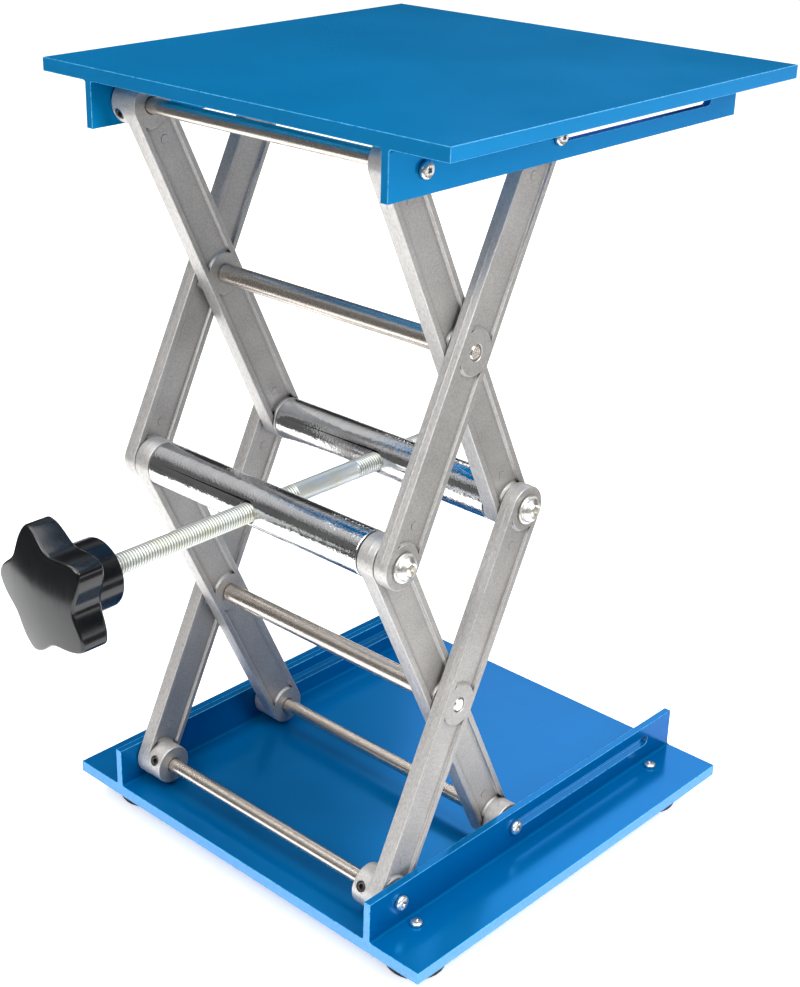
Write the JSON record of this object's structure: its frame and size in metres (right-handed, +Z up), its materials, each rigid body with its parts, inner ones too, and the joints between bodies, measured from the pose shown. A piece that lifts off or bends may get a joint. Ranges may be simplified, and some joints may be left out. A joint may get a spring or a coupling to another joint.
{
  "type": "laboratory scissor jack",
  "caption": "Raised laboratory scissor jack: ribbed square plates, two stages of crossed arms joined by rods, and a lead screw with a lobed knob that opens and folds it.",
  "frame": {"origin": "middle of the base plate's flat underside", "axes": "+Z up, X along the rods, -Y towards the knob"},
  "size_m": [0.2, 0.2866, 0.3255],
  "materials": {
    "blue_plate": "satin blue coating on extruded aluminium",
    "cast_arm": "satin die-cast",
    "bright_rod": "bright drawn",
    "chrome_bar": "polished",
    "zinc_screw": "zinc plated",
    "polished_screw": "polished",
    "set_screw": "blackened",
    "knob_plastic": "gloss moulded",
    "brass_insert": "turned",
    "black_rubber": "matte moulded"
  },
  "bodies": {
    "base": {"base_plate": "blue_plate", "foot_front_left": "black_rubber", "foot_front_right": "black_rubber", "foot_rear_left": "black_rubber", "foot_rear_right": "black_rubber", "foot_screw_front_left": "polished_screw", "foot_screw_front_right": "polished_screw", "foot_screw_rear_left": "polished_screw", "foot_screw_rear_right": "polished_screw"},
    "lower_outer": {"lower_outer_arm_left": "cast_arm", "lower_outer_arm_right": "cast_arm", "base_front_rod": "bright_rod", "lower_centre_rod": "bright_rod", "base_pivot_pin_left": "polished_screw", "base_pivot_pin_right": "polished_screw", "base_front_set_screw_left": "set_screw", "base_front_set_screw_right": "set_screw"},
    "lower_inner": {"lower_inner_arm_left": "cast_arm", "lower_inner_arm_right": "cast_arm", "base_rear_rod": "bright_rod", "base_slide_pin_left": "polished_screw", "base_slide_pin_right": "polished_screw", "base_rear_set_screw_left": "set_screw", "base_rear_set_screw_right": "set_screw"},
    "upper_inner": {"upper_inner_arm_left": "cast_arm", "upper_inner_arm_right": "cast_arm", "top_front_rod": "bright_rod", "top_pivot_pin_left": "polished_screw", "top_pivot_pin_right": "polished_screw", "top_front_set_screw_left": "set_screw", "top_front_set_screw_right": "set_screw"},
    "upper_outer": {"upper_outer_arm_left": "cast_arm", "upper_outer_arm_right": "cast_arm", "top_rear_rod": "bright_rod", "upper_centre_rod": "bright_rod", "top_slide_pin_left": "polished_screw", "top_slide_pin_right": "polished_screw", "top_rear_set_screw_left": "set_screw", "top_rear_set_screw_right": "set_screw"},
    "top": {"top_plate": "blue_plate"},
    "front_bar": {"front_crossbar": "chrome_bar", "front_mid_screw_left": "polished_screw", "front_mid_screw_right": "polished_screw"},
    "rear_bar": {"rear_crossbar": "chrome_bar", "rear_mid_screw_left": "polished_screw", "rear_mid_screw_right": "polished_screw"},
    "screw_seat": {"knob_insert": "brass_insert"},
    "screw": {"lead_screw": "zinc_screw", "knob": "knob_plastic"}
  },
  "joints": [
    {"name": "lift", "type": "hinge", "parent": "base", "child": "lower_outer", "pos_m": [0, -0.0819, 0.0151], "axis": [1, 0, 0], "range_deg": [-56.9, 0]},
    {"name": "lower_cross", "type": "hinge", "parent": "lower_outer", "child": "lower_inner", "pos_m": [0, -0.04712, 0.0862], "axis": [1, 0, 0], "range_deg": [0, 113.8]},
    {"name": "rear_mid", "type": "hinge", "parent": "lower_outer", "child": "upper_inner", "pos_m": [0, -0.01234, 0.1573], "axis": [1, 0, 0], "range_deg": [0, 113.8]},
    {"name": "upper_cross", "type": "hinge", "parent": "upper_inner", "child": "upper_outer", "pos_m": [0, -0.04712, 0.2284], "axis": [1, 0, 0], "range_deg": [-113.8, 0]},
    {"name": "top_pivot", "type": "hinge", "parent": "upper_inner", "child": "top", "pos_m": [0, -0.0819, 0.2995], "axis": [1, 0, 0], "range_deg": [-56.9, 0]},
    {"name": "front_bar_turn", "type": "hinge", "parent": "lower_inner", "child": "front_bar", "pos_m": [0, -0.0819, 0.1573], "axis": [1, 0, 0], "range_deg": [-56.9, 0]},
    {"name": "rear_bar_turn", "type": "hinge", "parent": "lower_outer", "child": "rear_bar", "pos_m": [0, -0.01234, 0.1573], "axis": [1, 0, 0], "range_deg": [0, 56.9]},
    {"name": "screw_travel", "type": "slide", "parent": "front_bar", "child": "screw_seat", "axis": [0, 1, 0], "range_m": [0, 0.0438]},
    {"name": "knob_spin", "type": "hinge", "parent": "screw_seat", "child": "screw", "pos_m": [0, -0.17, 0.1573], "axis": [0, 1, 0], "continuous": true}
  ],
  "couplings": [
    {"joint": "lower_cross", "follows": "lift", "ratio": -2},
    {"joint": "rear_mid", "follows": "lift", "ratio": -2},
    {"joint": "upper_cross", "follows": "lift", "ratio": 2},
    {"joint": "top_pivot", "follows": "lift", "ratio": 1},
    {"joint": "front_bar_turn", "follows": "lift", "ratio": 1},
    {"joint": "rear_bar_turn", "follows": "lift", "ratio": -1},
    {"joint": "screw_travel", "follows": "lift", "m_per_rad": -0.04408},
    {"joint": "knob_spin", "follows": "lift", "ratio": 221.57}
  ]
}
